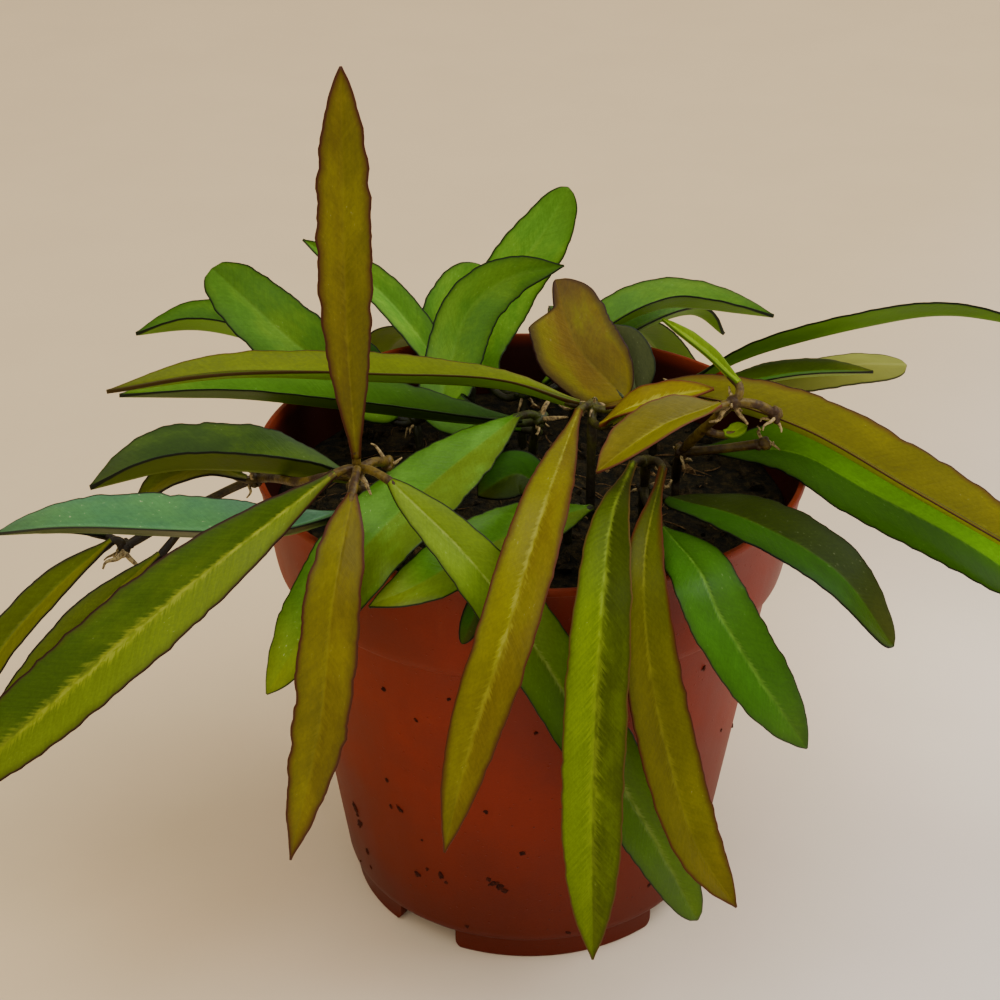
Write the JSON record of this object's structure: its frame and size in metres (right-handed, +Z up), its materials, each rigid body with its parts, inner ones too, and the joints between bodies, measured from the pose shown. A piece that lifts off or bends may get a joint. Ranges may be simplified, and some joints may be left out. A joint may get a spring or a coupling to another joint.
{
  "type": "potted hoya plant",
  "caption": "Long-leaved hoya in a round tapered nursery pot: narrow waxy leaves arch and trail from short knobbly vines over the rim.",
  "frame": {"origin": "on the floor plane, at the pot's axis, under the middle of the plant's box", "axes": "+Z up; -Y towards the plant's front, where the long leaves hang over the rim; +X to the right seen from the front"},
  "size_m": [0.2368, 0.1637, 0.2071],
  "materials": {
    "pot": "matte moulded terracotta-coloured plastic with specks of dry soil",
    "soil": "loose dark coir and bark mix with pale fibres",
    "green_foliage": "waxy deep green leaves with near-black margins and pale feathered midribs",
    "olive_foliage": "waxy young olive leaves with red-brown margins"
  },
  "bodies": {
    "root": {"pot": "pot", "soil": "soil", "vine_trailing_left": "olive_foliage", "vine_centre": "olive_foliage", "vine_right_front": "green_foliage", "vine_right_node": "olive_foliage", "vine_back_right": "green_foliage", "vine_back": "green_foliage", "vine_back_left": "green_foliage", "vine_middle": "green_foliage", "vine_low_front": "green_foliage", "vine_rear_right": "green_foliage", "vine_rear_left": "green_foliage"}
  },
  "joints": []
}
